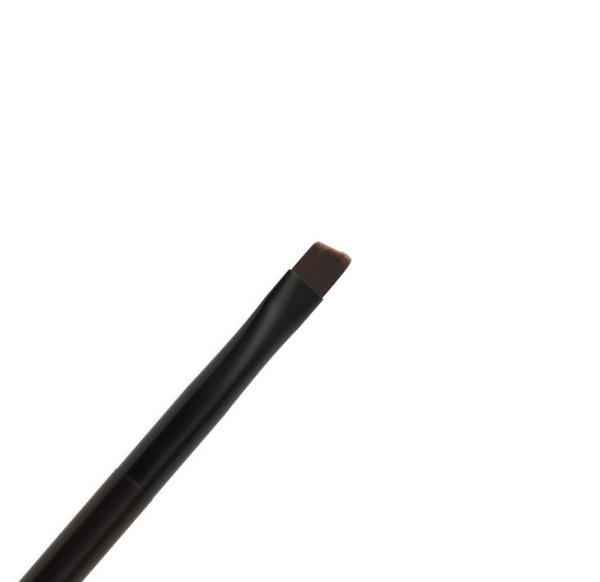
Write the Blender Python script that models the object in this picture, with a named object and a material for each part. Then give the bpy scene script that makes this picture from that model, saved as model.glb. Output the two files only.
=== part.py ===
"""Double-ended eyebrow brush, in metres with +Z up.

The brush lies on its handle, along X. The angled brush points to -X, with its
short side towards -Y, and the spoolie, the spiral brush, points to +X. The
origin is the centre of the object's footprint.

Each end is modelled in its own frame: x is 0 at the handle's shoulder and
grows outwards along the brush's axis.
"""

import math

import bmesh
import bpy
from mathutils import Vector

MM = 0.001

# Turned and swaged pieces have a flat facet at the top and at the bottom. The
# handle has fewer and wider facets, because the brush rests on its lowest one.
SIDES = 24
HANDLE_SIDES = 16
FACET_ANGLE = 2 * math.pi / SIDES
SHARP_ANGLE = math.radians(35)
MERGE_DISTANCE = 0.001 * MM

# Clearances between pieces that touch on the real object.
FIT_GAP = 0.3 * MM
SEAM_GAP = 0.3 * MM

# Handle: a straight rod, turned down at both ends to enter the ferrules.
HANDLE_DIAMETER = 7.0 * MM
HANDLE_LENGTH = 84.0 * MM
HANDLE_EDGE = 0.2 * MM
TENON_LENGTH = 13.0 * MM
TENON_CHAMFER = 0.6 * MM
GLUE_GROOVE_LENGTH = 4.0 * MM
GLUE_GROOVE_DEPTH = 1.0 * MM

# Both ferrules are drawn from one tube, a hair slimmer than the handle.
FERRULE_STEP = 0.085 * MM
FERRULE_WALL = 0.25 * MM

# Brush ferrule: a crimped band that thins out towards the mouth, a flare, a
# narrow neck, a shoulder that grows round, and a round socket for the tenon.
# The band's sizes are those of its rear end. A flat is the straight stretch of
# a section's top and bottom. A curve above 1 keeps most of the change of width
# for the end that is farther from the neck.
MOUTH_WIDTH = 7.35 * MM
MOUTH_THICKNESS = 2.1 * MM
MOUTH_FLAT = 3.6 * MM
BAND_LENGTH = 5.3 * MM
BAND_WIDTH = 7.2 * MM
BAND_THICKNESS = 3.15 * MM
BAND_FLAT = 1.4 * MM
FLARE_LENGTH = 7.7 * MM
FLARE_CURVE = 1.6
NECK_WIDTH = 6.42 * MM
SHOULDER_LENGTH = 9.5 * MM
SHOULDER_CURVE = 2.5
SWAGE_PAST_TENON = 3.1 * MM
FLARE_STEPS = 5
SHOULDER_STEPS = 5

# Tuft: rows of strands on the block of their glued roots.
TUFT_LENGTH_SHORT_SIDE = 5.95 * MM
TUFT_LENGTH_LONG_SIDE = 7.45 * MM
TUFT_CORNER_RADIUS = 0.9 * MM
TUFT_FLARE_LENGTH = 0.6 * MM
TUFT_TIP_NARROWING = 0.16 * MM
TUFT_TIP_THICKNESS = 1.0 * MM
TUFT_ROOT_RECESS = 0.2 * MM
TUFT_ROOT_LENGTH = 4.0 * MM
TUFT_COLUMNS = 27
TUFT_ROWS = 6
TUFT_STRAND_SPACING = 0.06 * MM
TUFT_STRAND_TAPER = 0.5

# Resin plug behind the tuft's roots.
ROOT_PLUG_LENGTH = 9.0 * MM
ROOT_PLUG_STEPS = 4

# Spoolie ferrule: a round collar over the tenon, then a cone down to the wire.
COLLAR_PAST_TENON = 0.5 * MM
CONE_LENGTH = 9.5 * MM

# Plug that grips the twisted wire inside the cone.
WIRE_PLUG_FLOOR = 1.2 * MM
WIRE_PLUG_FRONT_WALL = 0.4 * MM

# Twisted wire: one hairpin of two legs with the bristles' roots between them.
WIRE_DIAMETER = 0.55 * MM
WIRE_PITCH = 4.8 * MM
WIRE_BARE_LENGTH = 5.0 * MM
WIRE_EASE_LENGTH = 0.7 * MM
WIRE_POINTS_PER_TURN = 8
WIRE_BEND_POINTS = 6

# Spoolie bristles: a thin twisted strip of roots with strands on both edges.
SPOOLIE_LENGTH = 24.0 * MM
SPOOLIE_REAR_DIAMETER = 6.3 * MM
SPOOLIE_TIP_DIAMETER = 4.6 * MM
SPOOLIE_END_ROUNDING = 1.6 * MM
SPOOLIE_END_SHARE = 0.7
SPOOLIE_STEPS = 72
ROOT_STRIP_THICKNESS = 0.18 * MM
ROOT_STRIP_GAP = 0.25 * MM
ROOT_STRIP_PROUD = 0.13 * MM
SPOOLIE_STRAND_SPACING = 0.08 * MM
SPOOLIE_STRAND_TAPER = 0.5

# Worked out from the sizes above: the handle and the ferrules.
HANDLE_RADIUS = HANDLE_DIAMETER / 2
AXIS_HEIGHT = HANDLE_RADIUS * math.cos(math.pi / HANDLE_SIDES)
FERRULE_RADIUS = HANDLE_RADIUS - FERRULE_STEP
TENON_RADIUS = FERRULE_RADIUS - FERRULE_WALL - FIT_GAP
NECK_FROM_MOUTH = BAND_LENGTH + FLARE_LENGTH
SWAGE_LENGTH = NECK_FROM_MOUTH + SHOULDER_LENGTH
BRUSH_MOUTH_X = TENON_LENGTH + SWAGE_PAST_TENON + SWAGE_LENGTH
CONE_X = TENON_LENGTH + COLLAR_PAST_TENON
SPOOLIE_MOUTH_X = CONE_X + CONE_LENGTH

# The tuft fills the mouth in front of it. Its roots stay clear of the bore, at
# the sides by more, because the bore's ends are longer ovals than their own.
TUFT_WIDTH = MOUTH_WIDTH - 2 * FERRULE_WALL
TUFT_THICKNESS = MOUTH_THICKNESS - 2 * FERRULE_WALL
TUFT_TIP_WIDTH = TUFT_WIDTH - 2 * TUFT_TIP_NARROWING
TUFT_ROOT_WIDTH = TUFT_WIDTH - 4 * FIT_GAP
TUFT_ROOT_THICKNESS = TUFT_THICKNESS - 2 * FIT_GAP

# The wire, its bore and the stretch that holds bristles.
WIRE_RADIUS = WIRE_DIAMETER / 2
WIRE_OFFSET = WIRE_RADIUS + ROOT_STRIP_THICKNESS / 2 + ROOT_STRIP_GAP
WIRE_BORE_RADIUS = WIRE_OFFSET + WIRE_RADIUS + FIT_GAP
WIRE_PLUG_X = TENON_LENGTH + FIT_GAP
WIRE_START_X = WIRE_PLUG_X + WIRE_PLUG_FLOOR + FIT_GAP
SPOOLIE_START_X = SPOOLIE_MOUTH_X + WIRE_BARE_LENGTH
SPOOLIE_END_X = SPOOLIE_START_X + SPOOLIE_LENGTH
WIRE_BEND_X = SPOOLIE_END_X + WIRE_EASE_LENGTH
WIRE_TURN_RATE = 2 * math.pi / WIRE_PITCH


def blend(start, end, share):
    """The value a share of the way from start to end."""
    return start + (end - start) * share


# Scene, materials and objects

def clear_scene():
    for obj in list(bpy.data.objects):
        bpy.data.objects.remove(obj, do_unlink=True)


def linear(channel):
    """One sRGB channel from 0 to 255 as a linear value."""
    value = channel / 255
    if value <= 0.04045:
        return value / 12.92
    return ((value + 0.055) / 1.055) ** 2.4


def make_material(name, red, green, blue, roughness, metallic=0.0):
    material = bpy.data.materials.new(name)
    material.use_nodes = True
    shader = material.node_tree.nodes["Principled BSDF"]
    shader.inputs["Base Color"].default_value = (linear(red), linear(green), linear(blue), 1.0)
    shader.inputs["Roughness"].default_value = roughness
    shader.inputs["Metallic"].default_value = metallic
    return material


def add_frame(name, x, z, turn, parent):
    """An empty whose X axis is the axis of the pieces under it."""
    frame = bpy.data.objects.new(name, None)
    bpy.context.collection.objects.link(frame)
    frame.location = (x, 0, z)
    frame.rotation_euler = (0, 0, turn)
    frame.parent = parent
    return frame


def add_piece(name, bm, material, parent):
    """Turns a closed bmesh into the object of one piece."""
    bmesh.ops.recalc_face_normals(bm, faces=bm.faces)
    mesh = bpy.data.meshes.new(name)
    bm.to_mesh(mesh)
    bm.free()
    mesh.materials.append(material)
    mesh.shade_smooth()
    mesh.set_sharp_from_angle(angle=SHARP_ANGLE)
    piece = bpy.data.objects.new(name, mesh)
    bpy.context.collection.objects.link(piece)
    piece.parent = parent
    return piece


# Turned pieces

def turn_profile(profile, sides=SIDES):
    """Spins (x, radius) points round the X axis and closes the poles."""
    bm = bmesh.new()
    half_facet = math.pi / sides
    across = Vector((0, math.cos(half_facet), math.sin(half_facet)))
    points = [bm.verts.new(Vector((x, 0, 0)) + across * radius) for x, radius in profile]
    edges = [bm.edges.new(pair) for pair in zip(points, points[1:])]
    bmesh.ops.spin(
        bm, geom=points + edges, cent=(0, 0, 0), axis=(1, 0, 0),
        angle=2 * math.pi, steps=sides, use_merge=True,
    )
    bmesh.ops.remove_doubles(bm, verts=bm.verts, dist=MERGE_DISTANCE)
    return bm


def glue_groove():
    """Where the groove in the middle of a tenon starts and ends."""
    start = (TENON_LENGTH - GLUE_GROOVE_LENGTH) / 2
    return start, start + GLUE_GROOVE_LENGTH


def tenon_profile():
    """The end of the handle, from its shoulder outwards, in the end's frame."""
    groove_start, groove_end = glue_groove()
    groove_radius = TENON_RADIUS - GLUE_GROOVE_DEPTH
    return [
        (-HANDLE_EDGE, HANDLE_RADIUS),
        (0, HANDLE_RADIUS - HANDLE_EDGE),
        (0, TENON_RADIUS),
        (groove_start, TENON_RADIUS),
        (groove_start, groove_radius),
        (groove_end, groove_radius),
        (groove_end, TENON_RADIUS),
        (TENON_LENGTH - TENON_CHAMFER, TENON_RADIUS),
        (TENON_LENGTH, TENON_RADIUS - TENON_CHAMFER),
        (TENON_LENGTH, 0),
    ]


def build_handle(parent, material):
    half = HANDLE_LENGTH / 2
    spoolie_end = [(half + x, radius) for x, radius in tenon_profile()]
    brush_end = [(-half - x, radius) for x, radius in reversed(tenon_profile())]
    rod = turn_profile(brush_end + spoolie_end, HANDLE_SIDES)
    return add_piece("handle", rod, material, parent)


def build_glue_ring(name, parent, material):
    """Cured glue in a tenon's groove, which keys the tenon to its ferrule."""
    groove_start, groove_end = glue_groove()
    start = groove_start + FIT_GAP
    end = groove_end - FIT_GAP
    inner = TENON_RADIUS - GLUE_GROOVE_DEPTH + FIT_GAP
    outer = TENON_RADIUS
    profile = [(start, inner), (start, outer), (end, outer), (end, inner), (start, inner)]
    return add_piece(name, turn_profile(profile), material, parent)


# Swaged pieces, round or a flat oval across

def swage_section(from_mouth):
    """Half width, half thickness and half flat of the brush ferrule's outside."""
    if from_mouth <= BAND_LENGTH:
        share = from_mouth / BAND_LENGTH
        half_width = blend(MOUTH_WIDTH, BAND_WIDTH, share) / 2
        half_thickness = blend(MOUTH_THICKNESS, BAND_THICKNESS, share) / 2
        half_flat = blend(MOUTH_FLAT, BAND_FLAT, share) / 2
        return half_width, half_thickness, half_flat
    squeeze = max(1 - (from_mouth - BAND_LENGTH) / (SWAGE_LENGTH - BAND_LENGTH), 0)
    half_thickness = blend(FERRULE_RADIUS, BAND_THICKNESS / 2, squeeze ** 2)
    half_flat = BAND_FLAT / 2 * squeeze ** 3
    if from_mouth <= NECK_FROM_MOUTH:
        flare = max(1 - (from_mouth - BAND_LENGTH) / FLARE_LENGTH, 0)
        half_width = blend(NECK_WIDTH, BAND_WIDTH, flare ** FLARE_CURVE) / 2
        return half_width, half_thickness, half_flat
    share = min((from_mouth - NECK_FROM_MOUTH) / SHOULDER_LENGTH, 1)
    half_width = blend(NECK_WIDTH / 2, FERRULE_RADIUS, share ** SHOULDER_CURVE)
    return half_width, half_thickness, half_flat


def section_point(x, half_width, half_thickness, half_flat, turn):
    """A point on a flat oval: two half ellipses joined by straight flats."""
    side = math.copysign(1, math.cos(turn))
    y = side * half_flat + (half_width - half_flat) * math.cos(turn)
    return Vector((x, y, half_thickness * math.sin(turn)))


def start_loop(bm, turn_layer, x, section):
    """The first oval of a loft. Each vertex keeps its turn round the oval."""
    ring = bmesh.ops.create_circle(bm, segments=SIDES, radius=1.0)["verts"]
    for index, vertex in enumerate(ring):
        vertex[turn_layer] = (index + 0.5) * FACET_ANGLE
        vertex.co = section_point(x, *section, vertex[turn_layer])
    return list(bm.edges)


def extend_loop(bm, turn_layer, edges, x, section):
    """Extrudes a loft's last oval to the next one."""
    grown = bmesh.ops.extrude_edge_only(bm, edges=edges)["geom"]
    for vertex in grown:
        if isinstance(vertex, bmesh.types.BMVert):
            vertex.co = section_point(x, *section, vertex[turn_layer])
    return [edge for edge in grown if isinstance(edge, bmesh.types.BMEdge)]


def inside_section(from_mouth, inset):
    """The brush ferrule's section at an inset from its outside."""
    half_width, half_thickness, half_flat = swage_section(from_mouth)
    return half_width - inset, half_thickness - inset, half_flat


def swage_stations():
    """Distances from the mouth at which the brush ferrule has an oval."""
    flare = [BAND_LENGTH + FLARE_LENGTH * step / FLARE_STEPS for step in range(FLARE_STEPS)]
    shoulder = [NECK_FROM_MOUTH + SHOULDER_LENGTH * step / SHOULDER_STEPS for step in range(SHOULDER_STEPS)]
    return [0, *flare, *shoulder, SWAGE_LENGTH, BRUSH_MOUTH_X - SEAM_GAP]


def build_brush_ferrule(parent, material):
    """A thin tube: its outside from the handle to the mouth, then its bore back."""
    bm = bmesh.new()
    turn_layer = bm.verts.layers.float.new("turn")
    stations = swage_stations()
    rear = stations[-1]
    first = start_loop(bm, turn_layer, BRUSH_MOUTH_X - rear, swage_section(rear))
    loop = first
    for from_mouth in reversed(stations[:-1]):
        loop = extend_loop(bm, turn_layer, loop, BRUSH_MOUTH_X - from_mouth, swage_section(from_mouth))
    for from_mouth in stations:
        bore = inside_section(from_mouth, FERRULE_WALL)
        loop = extend_loop(bm, turn_layer, loop, BRUSH_MOUTH_X - from_mouth, bore)
    bmesh.ops.bridge_loops(bm, edges=loop + first)
    return add_piece("brush_ferrule", bm, material, parent)


def build_root_plug(parent, material):
    """Resin that fills the swage behind the roots, clear of the wall by the fit."""
    front = TUFT_ROOT_RECESS + TUFT_ROOT_LENGTH + FIT_GAP
    bm = bmesh.new()
    turn_layer = bm.verts.layers.float.new("turn")
    loop = None
    for step in range(ROOT_PLUG_STEPS + 1):
        from_mouth = front + ROOT_PLUG_LENGTH * step / ROOT_PLUG_STEPS
        section = inside_section(from_mouth, FERRULE_WALL + FIT_GAP)
        if loop is None:
            loop = start_loop(bm, turn_layer, BRUSH_MOUTH_X - from_mouth, section)
            bmesh.ops.edgeloop_fill(bm, edges=loop)
        else:
            loop = extend_loop(bm, turn_layer, loop, BRUSH_MOUTH_X - from_mouth, section)
    bmesh.ops.edgeloop_fill(bm, edges=loop)
    return add_piece("brush_root_plug", bm, material, parent)


# Tuft

def oval_reach(half_width, half_thickness, z):
    """How far the tuft's oval, whose ends are half circles, reaches sideways at z."""
    inside = max(half_thickness * half_thickness - z * z, 0)
    return half_width - half_thickness + math.sqrt(inside)


def oval_place(across, through, width, thickness):
    """The (y, z) in a flat oval of shares from -1 to 1 across and through it."""
    z = through * thickness / 2
    return across * oval_reach(width / 2, thickness / 2, z), z


def oval_shares(y, z, width, thickness):
    """The shares across and through a flat oval of a point in it."""
    return y / oval_reach(width / 2, thickness / 2, z), 2 * z / thickness


def tuft_length(across):
    """Visible length of the tuft: a slanted cut with rounded corners."""
    line = blend(TUFT_LENGTH_LONG_SIDE, TUFT_LENGTH_SHORT_SIDE, (across + 1) / 2)
    into_corner = max(TUFT_CORNER_RADIUS - (1 - abs(across)) * TUFT_WIDTH / 2, 0)
    drop = TUFT_CORNER_RADIUS - math.sqrt(TUFT_CORNER_RADIUS ** 2 - into_corner ** 2)
    return line - drop


def tuft_reach():
    """Length of the longest column of strands."""
    centres = [(2 * column + 1) / TUFT_COLUMNS - 1 for column in range(TUFT_COLUMNS)]
    return max(tuft_length(across) for across in centres)


def grow_strands(bm, faces, place):
    """Extrudes each face by itself and puts its new corners where place says."""
    made = bmesh.ops.extrude_discrete_faces(bm, faces=faces)["faces"]
    for face in made:
        centre = face.calc_center_median()
        for vertex in face.verts:
            vertex.co = place(centre, vertex.co)
    return made


def build_tuft(parent, material):
    """A block of roots whose front cells each carry one tapered strand."""
    bm = bmesh.new()
    bmesh.ops.create_grid(bm, x_segments=TUFT_COLUMNS, y_segments=TUFT_ROWS, size=1.0)
    root_size = (TUFT_ROOT_WIDTH, TUFT_ROOT_THICKNESS)
    flare_size = (TUFT_WIDTH, TUFT_THICKNESS)
    tip_size = (TUFT_TIP_WIDTH, TUFT_TIP_THICKNESS)
    for vertex in bm.verts:
        y, z = oval_place(vertex.co.x, vertex.co.y, *root_size)
        vertex.co = (BRUSH_MOUTH_X - TUFT_ROOT_RECESS, y, z)
    cells = list(bm.faces)
    block = bmesh.ops.extrude_face_region(bm, geom=cells)["geom"]
    back = [part for part in block if isinstance(part, bmesh.types.BMFace)]
    back_corners = [part for part in block if isinstance(part, bmesh.types.BMVert)]
    bmesh.ops.translate(bm, verts=back_corners, vec=(-TUFT_ROOT_LENGTH, 0, 0))
    bmesh.ops.dissolve_faces(bm, faces=back)
    bmesh.ops.recalc_face_normals(bm, faces=bm.faces)
    bmesh.ops.inset_individual(bm, faces=cells, thickness=TUFT_STRAND_SPACING / 2)

    def to_flare(centre, corner):
        y, z = oval_place(*oval_shares(centre.y, centre.z, *root_size), *flare_size)
        return Vector((BRUSH_MOUTH_X + TUFT_FLARE_LENGTH, y, z)) + (corner - centre)

    def to_tip(centre, corner):
        across, through = oval_shares(centre.y, centre.z, *flare_size)
        y, z = oval_place(across, through, *tip_size)
        tip = Vector((BRUSH_MOUTH_X + tuft_length(across), y, z))
        return tip + (corner - centre) * TUFT_STRAND_TAPER

    flared = grow_strands(bm, cells, to_flare)
    grow_strands(bm, flared, to_tip)
    return add_piece("brush_tuft", bm, material, parent)


# Spoolie end

def cone_radius(x):
    """Outer radius of the spoolie ferrule at x in the end's frame."""
    share = min(max((x - CONE_X) / CONE_LENGTH, 0), 1)
    return blend(FERRULE_RADIUS, WIRE_BORE_RADIUS + FERRULE_WALL, share)


def build_spoolie_ferrule(parent, material):
    stations = [SEAM_GAP, CONE_X, SPOOLIE_MOUTH_X]
    outside = [(x, cone_radius(x)) for x in stations]
    inside = [(x, cone_radius(x) - FERRULE_WALL) for x in reversed(stations)]
    profile = outside + inside + outside[:1]
    return add_piece("spoolie_ferrule", turn_profile(profile), material, parent)


def build_wire_plug(parent, material):
    """A turned plug that follows the cone's bore, with a blind bore for the wire.

    It ends where the cone leaves its wall the thickness of the front wall.
    """
    inset = FERRULE_WALL + FIT_GAP
    front_radius = WIRE_BORE_RADIUS + WIRE_PLUG_FRONT_WALL
    narrowing = FERRULE_RADIUS - FERRULE_WALL - WIRE_BORE_RADIUS
    front = CONE_X + CONE_LENGTH * (FERRULE_RADIUS - inset - front_radius) / narrowing
    bend = max(CONE_X, WIRE_PLUG_X)
    floor = WIRE_PLUG_X + WIRE_PLUG_FLOOR
    profile = [
        (WIRE_PLUG_X, 0),
        (WIRE_PLUG_X, cone_radius(WIRE_PLUG_X) - inset),
        (bend, cone_radius(bend) - inset),
        (front, front_radius),
        (front, WIRE_BORE_RADIUS),
        (floor, WIRE_BORE_RADIUS),
        (floor, 0),
    ]
    return add_piece("spoolie_wire_plug", turn_profile(profile), material, parent)


def twist_angle(x):
    """Turn of the wire's first leg at x. The twist dies out before the bend."""
    if x <= SPOOLIE_END_X:
        return WIRE_TURN_RATE * (x - WIRE_START_X)
    into_ease = x - SPOOLIE_END_X
    eased = into_ease * (1 - into_ease / (2 * WIRE_EASE_LENGTH))
    return WIRE_TURN_RATE * (SPOOLIE_END_X - WIRE_START_X + eased)


def outwards(turn):
    """The direction square to the axis at a turn."""
    return Vector((0, math.cos(turn), math.sin(turn)))


def wire_leg(half_turn):
    """Points of one leg, from the plug to the bend."""
    length = WIRE_BEND_X - WIRE_START_X
    count = round(WIRE_POINTS_PER_TURN * length / WIRE_PITCH)
    places = [WIRE_START_X + length * step / count for step in range(count + 1)]
    return [Vector((x, 0, 0)) + outwards(twist_angle(x) + half_turn) * WIRE_OFFSET for x in places]


def wire_path():
    """Out along one leg, round the bend at the tip and back along the other."""
    across = outwards(twist_angle(WIRE_BEND_X)) * WIRE_OFFSET
    bend = []
    for step in range(1, WIRE_BEND_POINTS):
        angle = math.pi * step / WIRE_BEND_POINTS
        forward = Vector((WIRE_BEND_X + WIRE_OFFSET * math.sin(angle), 0, 0))
        bend.append(forward + across * math.cos(angle))
    return wire_leg(0) + bend + list(reversed(wire_leg(math.pi)))


def leg_gap():
    """Least gap between the two legs of the wire, measured on their points."""
    return min((a - b).length for a in wire_leg(0) for b in wire_leg(math.pi)) - WIRE_DIAMETER


def build_wire(parent, material):
    path = wire_path()
    curve = bpy.data.curves.new("spoolie_wire", "CURVE")
    curve.dimensions = "3D"
    curve.bevel_depth = WIRE_RADIUS
    curve.bevel_resolution = 1
    curve.use_fill_caps = True
    curve.materials.append(material)
    spline = curve.splines.new("POLY")
    spline.points.add(len(path) - 1)
    for point, place in zip(spline.points, path):
        point.co = (*place, 1)
    wire = bpy.data.objects.new("spoolie_wire", curve)
    bpy.context.collection.objects.link(wire)
    wire.parent = parent
    return wire


def spoolie_radius(x):
    """Reach of the spoolie's bristles: a slow taper with rounded ends."""
    share = (x - SPOOLIE_START_X) / SPOOLIE_LENGTH
    radius = blend(SPOOLIE_REAR_DIAMETER, SPOOLIE_TIP_DIAMETER, share) / 2
    to_end = min(x - SPOOLIE_START_X, SPOOLIE_END_X - x)
    missing = max(1 - to_end / SPOOLIE_END_ROUNDING, 0)
    return radius * blend(SPOOLIE_END_SHARE, 1, math.sqrt(1 - missing * missing))


def build_spoolie_bristles(parent, material):
    """A strip twisted with the wire, with a strand on each cell of its two edges."""
    bm = bmesh.new()
    half_width = WIRE_OFFSET + ROOT_STRIP_PROUD
    turn = twist_angle(SPOOLIE_START_X) + math.pi / 2
    across = outwards(turn) * half_width
    through = outwards(turn + math.pi / 2) * ROOT_STRIP_THICKNESS / 2
    start = Vector((SPOOLIE_START_X, 0, 0))
    corners = (-across - through, across - through, across + through, through - across)
    end = bm.faces.new([bm.verts.new(start + corner) for corner in corners])
    bmesh.ops.spin(
        bm, geom=[end], cent=(0, 0, 0), axis=(1, 0, 0),
        angle=WIRE_TURN_RATE * SPOOLIE_LENGTH, steps=SPOOLIE_STEPS,
        dvec=(SPOOLIE_LENGTH / SPOOLIE_STEPS, 0, 0),
    )
    bmesh.ops.recalc_face_normals(bm, faces=bm.faces)
    cells = []
    for face in bm.faces:
        centre = face.calc_center_median()
        if math.hypot(centre.y, centre.z) > half_width / 2:
            cells.append(face)
    bmesh.ops.inset_individual(bm, faces=cells, thickness=SPOOLIE_STRAND_SPACING / 2)

    def to_tip(centre, corner):
        direction = Vector((0, centre.y, centre.z)).normalized()
        tip = Vector((centre.x, 0, 0)) + direction * spoolie_radius(centre.x)
        return tip + (corner - centre) * SPOOLIE_STRAND_TAPER

    grow_strands(bm, cells, to_tip)
    return add_piece("spoolie_bristles", bm, material, parent)


def main():
    clear_scene()
    lacquered_wood = make_material("lacquered_wood", 27, 23, 21, 0.35)
    lacquered_tube = make_material("lacquered_aluminium", 24, 26, 25, 0.32)
    brown_fibre = make_material("brown_fibre", 57, 45, 42, 0.55)
    black_nylon = make_material("black_nylon", 20, 18, 18, 0.45)
    steel = make_material("steel_wire", 150, 150, 150, 0.3, metallic=1.0)
    resin = make_material("resin", 176, 150, 98, 0.4)
    plastic = make_material("plug_plastic", 40, 40, 40, 0.5)

    brush_reach = BRUSH_MOUTH_X + tuft_reach()
    spoolie_reach = WIRE_BEND_X + WIRE_OFFSET + WIRE_RADIUS
    handle_x = (brush_reach - spoolie_reach) / 2
    half = HANDLE_LENGTH / 2
    brush = add_frame("eyebrow_brush", handle_x, AXIS_HEIGHT, 0, None)
    brush_end = add_frame("brush_end", -half, 0, math.pi, brush)
    spoolie_end = add_frame("spoolie_end", half, 0, 0, brush)

    build_handle(brush, lacquered_wood)
    build_glue_ring("brush_glue_ring", brush_end, resin)
    build_brush_ferrule(brush_end, lacquered_tube)
    build_root_plug(brush_end, resin)
    build_tuft(brush_end, brown_fibre)
    build_glue_ring("spoolie_glue_ring", spoolie_end, resin)
    build_spoolie_ferrule(spoolie_end, lacquered_tube)
    build_wire_plug(spoolie_end, plastic)
    build_wire(spoolie_end, steel)
    build_spoolie_bristles(spoolie_end, black_nylon)

    strands = TUFT_COLUMNS * TUFT_ROWS + 2 * SPOOLIE_STEPS
    print(f"strands: {strands}, least gap between the wire's legs: {leg_gap() / MM:.2f} mm")
    print(f"handle centre x: {handle_x / MM:.3f} mm, axis height: {AXIS_HEIGHT / MM:.3f} mm")


if __name__ == "__main__":
    main()
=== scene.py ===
"""The finish of a double-ended eyebrow brush, laid round its construction model.

Lengths are in metres. The brush lies on its handle along X, with the flat
angled brush towards -X and the spiral brush towards +X. Every piece keeps its
place in its mesh, so all patterns share one scale and one origin.
"""

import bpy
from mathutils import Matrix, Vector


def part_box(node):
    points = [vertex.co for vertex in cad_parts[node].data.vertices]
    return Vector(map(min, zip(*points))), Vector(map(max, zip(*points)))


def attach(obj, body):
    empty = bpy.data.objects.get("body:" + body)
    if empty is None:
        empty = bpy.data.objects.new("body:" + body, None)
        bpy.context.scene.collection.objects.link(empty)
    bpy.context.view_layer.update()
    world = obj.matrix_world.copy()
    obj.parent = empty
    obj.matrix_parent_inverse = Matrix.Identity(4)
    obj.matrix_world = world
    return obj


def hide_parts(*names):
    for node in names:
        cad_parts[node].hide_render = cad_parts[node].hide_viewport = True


bl_info = {
    "name": "Double-ended Eyebrow Brush",
    "version": (1, 0, 0),
    "blender": (4, 5, 0),
    "location": "3D View > Sidebar > Eyebrow Brush",
    "description": "Adds a double-ended eyebrow brush and a small photo studio",
    "category": "Add Mesh",
}

import math
import random

import bmesh
import bpy
import numpy as np
from mathutils import Matrix, Vector

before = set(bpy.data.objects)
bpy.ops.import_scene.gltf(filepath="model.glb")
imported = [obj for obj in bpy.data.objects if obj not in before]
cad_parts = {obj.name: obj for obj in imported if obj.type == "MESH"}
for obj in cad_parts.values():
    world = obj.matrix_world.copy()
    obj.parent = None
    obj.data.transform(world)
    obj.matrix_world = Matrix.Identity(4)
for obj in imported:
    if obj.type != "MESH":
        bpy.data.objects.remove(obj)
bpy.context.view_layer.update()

MM = 0.001
TOUCH = 0.001 * MM

# Places that the construction model gives.
HANDLE_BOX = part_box("handle")
TUFT_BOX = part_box("brush_tuft")
WIRE_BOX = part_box("spoolie_wire")
BRISTLE_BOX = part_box("spoolie_bristles")
AXIS = Vector((0, 0, (HANDLE_BOX[0].z + HANDLE_BOX[1].z) / 2))
MOUTH_X, BRUSH_FERRULE_REAR_X = (corner.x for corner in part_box("brush_ferrule"))
SPOOLIE_FERRULE_REAR_X, NOSE_X = (corner.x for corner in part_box("spoolie_ferrule"))

# The mouth's line is a little off square: the ferrule is longer on the tuft's long side.
MOUTH_SKEW = math.radians(1.6)


def linear(code):
    """A hex colour such as 8A6F52, read as sRGB, as linear red, green and blue."""
    channels = [int(code[start:start + 2], 16) / 255 for start in (0, 2, 4)]
    return tuple(c / 12.92 if c <= 0.04045 else ((c + 0.055) / 1.055) ** 2.4 for c in channels)


def blend(start, end, share):
    """The value a share of the way from start to end."""
    return start + (end - start) * share


# Sizes and colours that a user would change

def length(name, description, millimetres):
    """A size that the panel shows as a length."""
    return bpy.props.FloatProperty(
        name=name, description=description, default=millimetres * MM,
        min=0.0, precision=4, unit="LENGTH", subtype="DISTANCE",
    )


def count(name, description, number):
    """A number of pieces."""
    return bpy.props.IntProperty(name=name, description=description, default=number, min=1)


def colour(name, description, code):
    """A colour that the panel shows as a swatch."""
    return bpy.props.FloatVectorProperty(
        name=name, description=description, default=linear(code),
        min=0.0, max=1.0, size=3, subtype="COLOR",
    )


class BrushSizes(bpy.types.PropertyGroup):
    """Real sizes of the pieces that are modelled round the frame."""

    handle_diameter: length("Handle diameter", "Across the round handle", 7.0)
    tenon_diameter: length("Tenon diameter", "Across the end of the handle inside a ferrule", 5.73)
    ferrule_diameter: length("Ferrule diameter", "Across the round part of both ferrules", 6.83)
    wall: length("Wall", "Thickness of the ferrules' metal", 0.25)
    mouth_width: length("Mouth width", "Across the flattened mouth of the brush ferrule", 7.35)
    mouth_thickness: length("Mouth thickness", "Through the flattened mouth", 1.7)
    mouth_flat: length("Mouth flat", "Straight stretch of the mouth's top and bottom", 2.8)
    band_length: length("Band length", "Crimped band from the mouth back to its crease", 5.3)
    band_width: length("Band width", "Across the crease at the rear of the band", 7.2)
    band_thickness: length("Band thickness", "Through the crease at the rear of the band", 3.15)
    band_flat: length("Band flat", "Straight stretch of the crease's top and bottom", 0.6)
    flare_length: length("Flare length", "From the crease back to the narrow neck", 7.7)
    neck_width: length("Neck width", "Across the narrowest part of the swage", 6.42)
    shoulder_length: length("Shoulder length", "From the neck back to the round tube", 9.5)
    short_side: length("Short side", "Visible bristle on the short side of the slant", 5.85)
    long_side: length("Long side", "Visible bristle on the long side of the slant", 7.4)
    fibre_diameter: length("Fibre diameter", "Thickness of one filament of the flat brush", 0.1)
    fibre_columns: count("Fibre columns", "Filaments side by side across the flat brush", 66)
    fibre_rows: count("Fibre rows", "Filaments on each other through the flat brush", 18)
    wire_diameter: length("Wire diameter", "Thickness of the twisted wire", 0.55)
    wire_pitch: length("Wire pitch", "One full turn of the twisted wire", 4.8)
    rear_diameter: length("Rear diameter", "Across the spiral brush near the handle", 6.3)
    tip_diameter: length("Tip diameter", "Across the spiral brush near its end", 4.6)
    bristle_diameter: length("Bristle diameter", "Thickness of one spiral bristle", 0.09)
    bristle_count: count("Bristle count", "Bristles caught between the legs of the wire", 620)


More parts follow.
